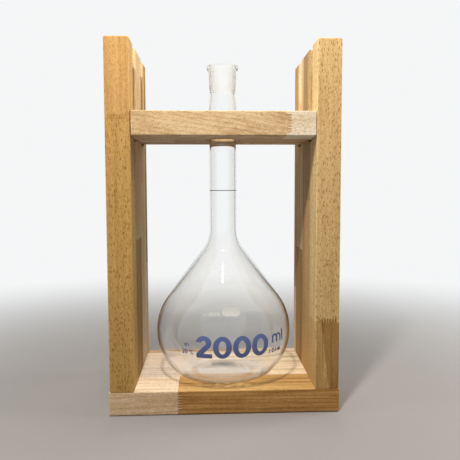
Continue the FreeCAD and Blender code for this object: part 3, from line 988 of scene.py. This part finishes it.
class FLASKSTAND_OT_print_bulb(bpy.types.Operator):
    """Print the volume, the temperature and the tolerance on the bulb"""
    bl_idname = "flaskstand.print_bulb"
    bl_label = "Print the bulb"

    def execute(self, context):
        section = Section(context.scene.flask_sizes)
        sizes = context.scene.print_sizes
        blue = enamel("blue_enamel", sizes.blue, 0.78)
        white = enamel("white_enamel", sizes.white, 0.92)
        large = (sizes.number_height, sizes.number_stroke, sizes.lift)
        medium = (sizes.unit_height, sizes.unit_stroke, sizes.lift)
        small = (sizes.small_height, sizes.small_stroke, sizes.lift)
        printed("volume_number", section, NUMBER, *large, blue, "blue_enamel")
        printed("volume_unit", section, UNIT, *medium, blue, "blue_enamel")
        printed("calibration_notes", section, NOTES, *small, blue, "blue_enamel")
        printed("back_number", section, BACK_NOTE, *small, white, "white_enamel")
        dress("ring_mark", enamel("dark_enamel", sizes.dark, 0.8))
        dress("writing_spot", white)
        return {"FINISHED"}


def oil(context, begins, paler=0.0):
    """Oils each stave of the boards whose names begin in a given way, a share paler than its tone."""
    tones = context.scene.beech_colours
    fingers = context.scene.finger_sizes
    heart = (tones.brown_light, tones.brown_dark)
    for seed, node in enumerate(sorted(frame["nodes"]), 1):
        if not node.startswith(begins) or "_stave_" not in node:
            continue
        tone = SLOT_OF[node].replace("beech_", "")
        if node in HEARTWOOD:
            tone = "golden"
        change = [1.0 + TONE_SPREAD * math.sin(5.1 * seed + step) for step in range(3)]
        pair = []
        for end in ("_light", "_dark"):
            tint = Vector(getattr(tones, tone + end)).lerp(Vector(getattr(tones, "pale" + end)), paler)
            pair.append([value * factor for value, factor in zip(tint, SHADES.get(node, change))])
        dress(node, beech(Stave(node, seed), *pair, heart, tones.fleck, fingers))


class FLASKSTAND_OT_oil_stand(bpy.types.Operator):
    """Give every stave of the base and the two panels its own oiled beech"""
    bl_idname = "flaskstand.oil_stand"
    bl_label = "Oil the stand"

    def execute(self, context):
        oil(context, ("base", *UPRIGHT))
        return {"FINISHED"}


class FLASKSTAND_OT_oil_shelf(bpy.types.Operator):
    """Give every stave of the shelf its own oiled beech"""
    bl_idname = "flaskstand.oil_shelf"
    bl_label = "Oil the shelf"

    def execute(self, context):
        oil(context, ("shelf",), SHELF_PALER)
        return {"FINISHED"}


class FLASKSTAND_OT_plate_screws(bpy.types.Operator):
    """Zinc-plate the screws under the base"""
    bl_idname = "flaskstand.plate_screws"
    bl_label = "Plate the screws"

    def execute(self, context):
        plate = zinc("zinc_steel")
        dress("left_panel_screws", plate)
        dress("right_panel_screws", plate)
        return {"FINISHED"}


def lamp(name, place, size, energy, tint):
    data = bpy.data.lights.new(name, "AREA")
    data.shape = "RECTANGLE"
    data.size = size[0]
    data.size_y = size[1]
    data.energy = energy
    data.color = tint
    light = shown(name, data)
    light.location = place
    light.rotation_euler = (Vector(LAMP_TARGET) - Vector(place)).to_track_quat("-Z", "Y").to_euler()
    light.visible_glossy = name == MIRRORED_LAMP
    light.visible_transmission = False


def floor_finish(sizes):
    """Pale floor that runs out into the background's own colour far from the object."""
    finish = Finish("pale_floor")
    reach = finish.add("ShaderNodeVectorMath", {"operation": "LENGTH"}, Vector=finish.place).outputs["Value"]
    speck = finish.noise(finish.moved((FLOOR_SPECKS,) * 3), 3.0)
    darker = [value * SPECK_SHADE for value in sizes.floor_colour]
    tint = finish.mixed(finish.span(speck, 0.3, 0.7), darker, sizes.floor_colour)
    matt = finish.add("ShaderNodeBsdfPrincipled", Base_Color=tint, Roughness=0.7)
    far = finish.add("ShaderNodeEmission", Color=(*sizes.background, 1.0))
    indirect = finish.add("ShaderNodeLightPath").outputs["Is Diffuse Ray"]
    faded = finish.span(reach, sizes.fade_start, sizes.fade_end)
    share = finish.maths("MULTIPLY", faded, finish.maths("SUBTRACT", 1.0, indirect))
    return finish.surface(
        mix_shaders(finish.tree, share, matt.outputs["BSDF"], far.outputs["Emission"]))


def light_the_world(scene, sizes):
    """An even sky: the background's colour where it is seen, in glass too, and a low level for the rest."""
    world = bpy.data.worlds.new("studio")
    world.use_nodes = True
    scene.world = world
    tree = world.node_tree
    tree.nodes.clear()
    path = tree.nodes.new("ShaderNodeLightPath")
    seen = path.outputs["Is Camera Ray"]
    for kind in ("Is Glossy Ray", "Is Transmission Ray"):
        seen = maths(tree, "MAXIMUM", seen, path.outputs[kind])
    shades = []
    for strength in SKY_LEVELS:
        shade = tree.nodes.new("ShaderNodeBackground")
        shade.inputs["Color"].default_value = (*sizes.background, 1.0)
        shade.inputs["Strength"].default_value = strength
        shades.append(shade.outputs["Background"])
    result = tree.nodes.new("ShaderNodeOutputWorld")
    tree.links.new(mix_shaders(tree, seen, *shades), result.inputs["Surface"])


class FLASKSTAND_OT_set_stage(bpy.types.Operator):
    """Lay the floor, hang the lamps and set up the camera"""
    bl_idname = "flaskstand.set_stage"
    bl_label = "Set the stage"

    def execute(self, context):
        scene = context.scene
        sizes = scene.stage_sizes
        shape = bmesh.new()
        bmesh.ops.create_circle(shape, cap_ends=True, segments=96, radius=sizes.floor_radius)
        bmesh.ops.translate(shape, verts=shape.verts, vec=(0.0, 0.0, CAD_BOX[0].z - FLOOR_DROP))
        mesh = bpy.data.meshes.new("floor")
        shape.to_mesh(mesh)
        shape.free()
        mesh.materials.append(floor_finish(sizes))
        shown("floor", mesh)
        light_the_world(scene, sizes)
        for name, values in LAMPS.items():
            lamp(name, *values)
        data = bpy.data.cameras.new("camera")
        data.lens = sizes.lens
        data.shift_x = sizes.shift
        data.clip_start = 0.01
        camera = shown("camera", data)
        camera.matrix_world = (
            Matrix.Translation(sizes.camera_place) @ Matrix.Rotation(-sizes.yaw, 4, "Z")
            @ Matrix.Rotation(math.pi / 2 - sizes.pitch, 4, "X") @ Matrix.Rotation(-sizes.roll, 4, "Z"))
        scene.camera = camera
        scene.view_settings.view_transform = "Standard"
        return {"FINISHED"}


OPERATORS = (
    FLASKSTAND_OT_oil_stand,
    FLASKSTAND_OT_oil_shelf,
    FLASKSTAND_OT_plate_screws,
    FLASKSTAND_OT_blow_flask,
    FLASKSTAND_OT_print_bulb,
    FLASKSTAND_OT_set_stage,
)
GROUPS = {
    "flask_sizes": FlaskSizes,
    "glass_colours": GlassColours,
    "print_sizes": PrintSizes,
    "finger_sizes": FingerSizes,
    "beech_colours": BeechColours,
    "stage_sizes": StageSizes,
}


class FLASKSTAND_PT_panel(bpy.types.Panel):
    """Steps that make the flask and its stand, and their sizes"""
    bl_label = "Flask stand"
    bl_idname = "FLASKSTAND_PT_panel"
    bl_space_type = "VIEW_3D"
    bl_region_type = "UI"
    bl_category = "Flask stand"

    def draw(self, context):
        for operator in OPERATORS:
            self.layout.operator(operator.bl_idname)
        for name, group in GROUPS.items():
            box = self.layout.box()
            box.label(text=name.replace("_", " ").capitalize())
            for item in group.__annotations__:
                box.prop(getattr(context.scene, name), item)


CLASSES = (*GROUPS.values(), *OPERATORS, FLASKSTAND_PT_panel)


def register():
    for item in CLASSES:
        bpy.utils.register_class(item)
    for name, group in GROUPS.items():
        setattr(bpy.types.Scene, name, PointerProperty(type=group))


def unregister():
    for name in GROUPS:
        delattr(bpy.types.Scene, name)
    for item in reversed(CLASSES):
        bpy.utils.unregister_class(item)


def main():
    register()
    for operator in OPERATORS:
        group, name = operator.bl_idname.split(".")
        getattr(getattr(bpy.ops, group), name)()


if __name__ == "__main__":
    main()
